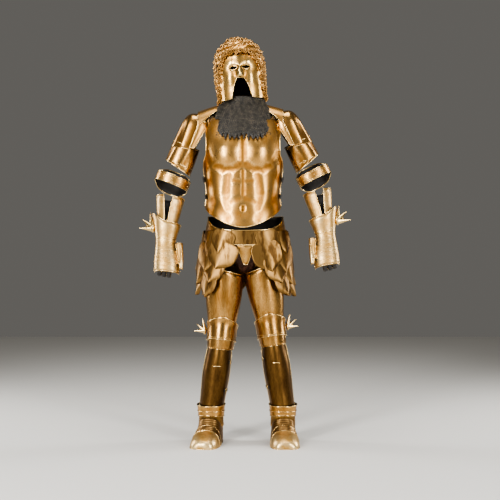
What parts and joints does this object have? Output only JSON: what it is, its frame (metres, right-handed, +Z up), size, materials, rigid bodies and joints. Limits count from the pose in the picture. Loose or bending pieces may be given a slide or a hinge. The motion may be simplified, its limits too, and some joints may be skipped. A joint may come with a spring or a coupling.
{
  "type": "suit of plate armour",
  "caption": "Gilded suit of anatomical plate armour with face-mask helmet, mail collar, leaf-scale skirt, spiked gauntlet cuffs and knees, worn over clothing to shield the whole body.",
  "frame": {"origin": "the point where the wearer holds the suit up, at throat height on the body's middle plane, 1.5 m above the floor that the soles stand on", "axes": "+Z up along the standing body, -Y to the front, +X to the wearer's left"},
  "size_m": [0.9808, 0.3706, 1.8586],
  "materials": {
    "gilt": "worn gilded sheet metal, half polished with dark patina in the hollows",
    "scale": "duller gilded sheet metal, streaked",
    "mail": "dark bronzed linked mail",
    "leather": "reddish brown, matte",
    "strap": "near black, matte"
  },
  "bodies": {
    "suit": {"breastplate": "gilt", "backplate": "gilt", "side_strap_low_left": "strap", "side_strap_low_right": "strap", "side_strap_high_left": "strap", "side_strap_high_right": "strap", "mail_collar": "mail", "helmet_skull": "gilt", "helmet_mask": "gilt", "pauldron_left": "gilt", "rerebrace_left": "gilt", "couter_left": "gilt", "vambrace_outer_left": "gilt", "vambrace_inner_left": "gilt", "gauntlet_left": "gilt", "gauntlet_fingers_left": "gilt", "gauntlet_thumb_left": "gilt", "cuff_spikes_left": "gilt", "pauldron_right": "gilt", "rerebrace_right": "gilt", "couter_right": "gilt", "vambrace_outer_right": "gilt", "vambrace_inner_right": "gilt", "gauntlet_right": "gilt", "gauntlet_fingers_right": "gilt", "gauntlet_thumb_right": "gilt", "cuff_spikes_right": "gilt", "hip_band": "gilt", "scale_row_1": "scale", "scale_row_2": "scale", "scale_row_3": "scale", "scale_row_4": "scale", "fork_panel": "leather", "front_lappet": "gilt", "cuisse_left": "gilt", "cuisse_right": "gilt", "shoulder_strap_left": "strap", "shoulder_strap_right": "strap"},
    "knee_left": {"poleyn_left": "gilt", "knee_spikes_left": "gilt"},
    "shin_left": {"knee_lame_left": "gilt", "greave_front_left": "gilt", "greave_back_left": "gilt", "sabaton_cuff_left": "gilt", "sabaton_heel_left": "gilt", "sabaton_instep_left": "gilt", "sabaton_lame_left": "gilt", "sabaton_toe_left": "gilt"},
    "knee_right": {"poleyn_right": "gilt", "knee_spikes_right": "gilt"},
    "shin_right": {"knee_lame_right": "gilt", "greave_front_right": "gilt", "greave_back_right": "gilt", "sabaton_cuff_right": "gilt", "sabaton_heel_right": "gilt", "sabaton_instep_right": "gilt", "sabaton_lame_right": "gilt", "sabaton_toe_right": "gilt"}
  },
  "joints": [
    {"name": "knee_left", "type": "hinge", "parent": "suit", "child": "knee_left", "pos_m": [0.13, 0, -0.992], "axis": [0.9895, 0, 0.1444], "range_deg": [0, 20]},
    {"name": "shin_left", "type": "hinge", "parent": "knee_left", "child": "shin_left", "pos_m": [0.13, 0, -0.992], "axis": [0.9895, 0, 0.1444], "range_deg": [0, 30]},
    {"name": "knee_right", "type": "hinge", "parent": "suit", "child": "knee_right", "pos_m": [-0.099, 0, -1.008], "axis": [0.9954, 0, -0.0958], "range_deg": [0, 20]},
    {"name": "shin_right", "type": "hinge", "parent": "knee_right", "child": "shin_right", "pos_m": [-0.099, 0, -1.008], "axis": [0.9954, 0, -0.0958], "range_deg": [0, 30]}
  ],
  "couplings": [
    {"joint": "shin_left", "follows": "knee_left", "ratio": 1.5},
    {"joint": "shin_right", "follows": "knee_right", "ratio": 1.5}
  ]
}
